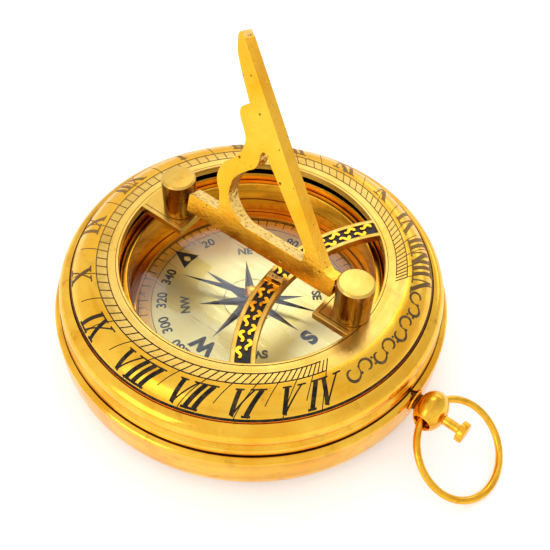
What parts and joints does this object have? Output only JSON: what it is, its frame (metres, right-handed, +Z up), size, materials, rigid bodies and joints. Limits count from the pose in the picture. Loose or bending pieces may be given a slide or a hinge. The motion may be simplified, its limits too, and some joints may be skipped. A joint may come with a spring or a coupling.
{
  "type": "pocket sundial compass",
  "caption": "Round brass pocket sundial with a push-button hinged dial lid, folding gnomon between two posts and a compass under glass, with a bow ring on its pendant",
  "frame": {"origin": "centre of the flat base that the case stands on", "axes": "+Z up, out of the dial; +Y towards XII and the hinge; -Y towards the pendant and push button; +X east"},
  "size_m": [0.0636, 0.0788, 0.049],
  "materials": {
    "polished_brass": "polished, lightly lacquered, with engraved lines filled dark",
    "cast_brass": "cast with polished faces and grainy edges",
    "dark_brass": "darkened brass in hidden or recessed places",
    "card_print": "pale printed compass card",
    "blued_steel": "dark blued steel",
    "spring_steel": "bright drawn steel",
    "window_glass": "clear flat glass"
  },
  "bodies": {
    "case": {"case_drum": "polished_brass", "compass_cup": "polished_brass", "compass_card": "card_print", "chapter_ring": "polished_brass", "compass_glass": "window_glass", "glass_bezel": "polished_brass", "needle_pin": "spring_steel", "hinge_knuckle_east": "polished_brass", "hinge_knuckle_west": "polished_brass", "hinge_pin": "spring_steel", "lid_spring_east": "spring_steel", "lid_spring_west": "spring_steel", "pendant_neck": "dark_brass", "pendant_bead": "polished_brass", "spring_bracket": "dark_brass"},
    "lid": {"lid_frame": "polished_brass", "dial_plate": "polished_brass", "north_post": "polished_brass", "south_post": "polished_brass", "north_post_screw": "spring_steel", "south_post_screw": "spring_steel", "hinge_knuckle_lid": "polished_brass", "lid_keeper": "spring_steel"},
    "gnomon": {"gnomon": "cast_brass", "north_pivot_pin": "spring_steel", "south_pivot_pin": "spring_steel"},
    "needle": {"needle": "blued_steel", "needle_cap": "polished_brass"},
    "button": {"button_head": "polished_brass", "button_stem": "polished_brass", "latch_hook": "spring_steel", "button_spring": "spring_steel"},
    "bow": {"bow_ring": "polished_brass"}
  },
  "joints": [
    {"name": "lid_hinge", "type": "hinge", "parent": "case", "child": "lid", "pos_m": [0, 0.0309, 0.00925], "axis": [-1, 0, 0], "range_deg": [0, 95]},
    {"name": "gnomon_fold", "type": "hinge", "parent": "lid", "child": "gnomon", "pos_m": [0, 0, 0.02115], "axis": [0, 1, 0], "range_deg": [-110, 74]},
    {"name": "needle_spin", "type": "hinge", "parent": "case", "child": "needle", "pos_m": [0, 0, 0.0069], "axis": [0, 0, 1], "continuous": true},
    {"name": "bow_swing", "type": "hinge", "parent": "case", "child": "bow", "pos_m": [-0.00103, -0.03458, 0.0079], "axis": [-0.9932, 0.1167, 0], "range_deg": [0, 145]},
    {"name": "push_button", "type": "slide", "parent": "case", "child": "button", "axis": [0.0297, 0.9996, 0], "range_m": [0, 0.001], "stiffness_N_per_m": 200}
  ]
}
